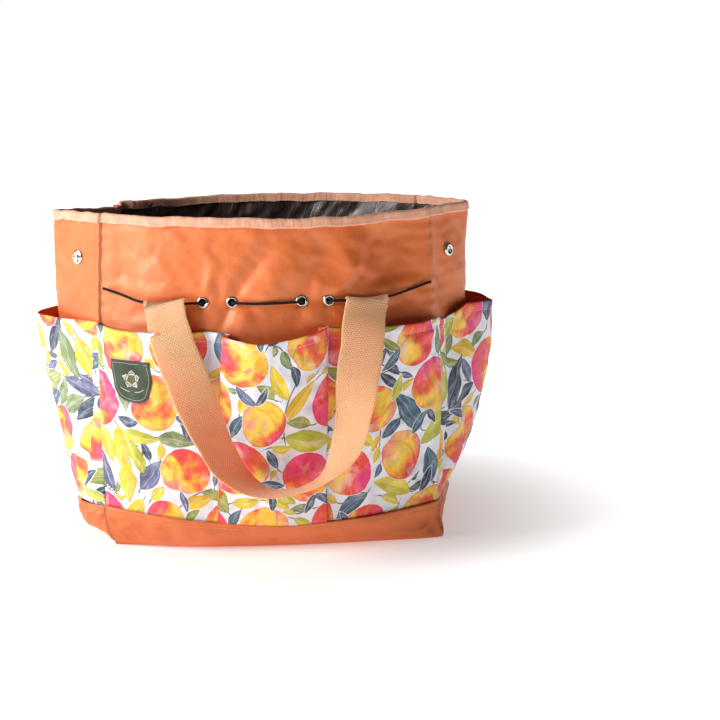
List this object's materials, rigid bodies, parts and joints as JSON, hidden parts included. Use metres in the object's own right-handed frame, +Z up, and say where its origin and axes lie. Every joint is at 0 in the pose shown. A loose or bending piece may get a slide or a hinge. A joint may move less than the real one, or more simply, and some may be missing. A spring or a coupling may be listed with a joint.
{
  "type": "garden tool bag",
  "caption": "Open-topped soft garden tool tote with pockets all round the outside, webbing carry handles and elastic tool cords.",
  "frame": {"origin": "on the floor, under the middle of the flat base", "axes": "+X along the long side of the base, to the right seen from the front; -Y out of the front; +Z up"},
  "size_m": [0.438, 0.3654, 0.3063],
  "materials": {
    "coral_fabric": "coated woven polyester, slight sheen",
    "dark_lining": "smooth coated lining, soft sheen",
    "printed_fabric": "woven fabric printed with fruit and leaves",
    "peach_webbing": "ribbed woven webbing and tape",
    "black_elastic": "braided elastic",
    "nickel": "polished nickel",
    "stiffener": "plain board",
    "green_label": "woven label"
  },
  "bodies": {
    "bag": {"front_panel": "coral_fabric", "back_panel": "coral_fabric", "left_gusset": "coral_fabric", "right_gusset": "coral_fabric", "front_base_band": "coral_fabric", "right_base_band": "coral_fabric", "back_base_band": "coral_fabric", "left_base_band": "coral_fabric", "bottom_panel": "coral_fabric", "front_lining": "dark_lining", "right_lining": "dark_lining", "back_lining": "dark_lining", "left_lining": "dark_lining", "floor_lining": "dark_lining", "front_pocket_left": "printed_fabric", "front_pocket_centre": "printed_fabric", "front_pocket_right": "printed_fabric", "back_pocket_left": "printed_fabric", "back_pocket_centre": "printed_fabric", "back_pocket_right": "printed_fabric", "left_side_pocket": "printed_fabric", "right_side_pocket": "printed_fabric", "rim_binding": "peach_webbing", "front_handle_tab_left": "peach_webbing", "front_handle_tab_right": "peach_webbing", "back_handle_tab_left": "peach_webbing", "back_handle_tab_right": "peach_webbing", "front_elastic_cord": "black_elastic", "back_elastic_cord": "black_elastic", "front_eyelet_1": "nickel", "front_eyelet_2": "nickel", "front_eyelet_3": "nickel", "front_eyelet_4": "nickel", "back_eyelet_1": "nickel", "back_eyelet_2": "nickel", "back_eyelet_3": "nickel", "back_eyelet_4": "nickel", "front_eyelet_washer_1": "nickel", "front_eyelet_washer_2": "nickel", "front_eyelet_washer_3": "nickel", "front_eyelet_washer_4": "nickel", "back_eyelet_washer_1": "nickel", "back_eyelet_washer_2": "nickel", "back_eyelet_washer_3": "nickel", "back_eyelet_washer_4": "nickel", "left_snap_stud_front": "nickel", "left_snap_socket_back": "nickel", "right_snap_socket_front": "nickel", "right_snap_stud_back": "nickel", "left_snap_cap_front": "nickel", "left_snap_cap_back": "nickel", "right_snap_cap_front": "nickel", "right_snap_cap_back": "nickel", "base_board": "stiffener", "label_patch": "green_label"},
    "front_handle_loop": {"front_handle": "peach_webbing"},
    "back_handle_loop": {"back_handle": "peach_webbing"}
  },
  "joints": [
    {"name": "front_handle_swing", "type": "hinge", "parent": "bag", "child": "front_handle_loop", "pos_m": [0, -0.112, 0.232], "axis": [-1, 0, 0], "range_deg": [0, 155]},
    {"name": "back_handle_swing", "type": "hinge", "parent": "bag", "child": "back_handle_loop", "pos_m": [0, 0.1195, 0.232], "axis": [1, 0, 0], "range_deg": [0, 155]}
  ]
}
